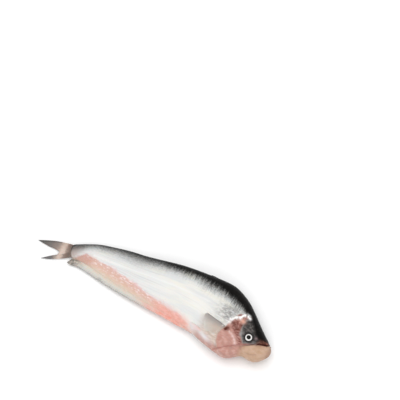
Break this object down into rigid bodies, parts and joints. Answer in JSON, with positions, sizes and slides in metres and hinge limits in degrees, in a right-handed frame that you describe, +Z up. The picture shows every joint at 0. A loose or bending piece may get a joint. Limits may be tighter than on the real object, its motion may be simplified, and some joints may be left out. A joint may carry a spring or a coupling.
{
  "type": "whole raw fish",
  "caption": "Whole raw scaleless silver fish lying on its left side, with a dark back, a long low fin under the tail half, a forked tail fin, and its head on.",
  "frame": {"origin": "on the surface that the fish lies on, under the middle of its bounding box", "axes": "+X from tail to head, +Y from belly to back, +Z up from the surface, out of the right flank"},
  "size_m": [0.2138, 0.0588, 0.0251],
  "materials": {
    "skin": "wet smooth scaleless skin, near black back, silver flank, pink belly and gill cover",
    "fin_membrane": "wet translucent grey membrane over fine rays",
    "tail_membrane": "wet brownish membrane over rays, dark at the tips",
    "eye": "wet clear cornea, silver iris, black pupil",
    "barbel": "wet pinkish whisker"
  },
  "bodies": {
    "root": {"body": "skin", "eye_right": "eye", "eye_left": "eye", "pectoral_fin_right": "fin_membrane", "pectoral_fin_left": "fin_membrane", "pelvic_fin_right": "fin_membrane", "pelvic_fin_left": "fin_membrane", "barbel_right": "barbel", "barbel_left": "barbel", "chin_barbel_right": "barbel", "chin_barbel_left": "barbel", "tail_fin": "tail_membrane", "anal_fin": "fin_membrane", "dorsal_fin": "fin_membrane"}
  },
  "joints": []
}
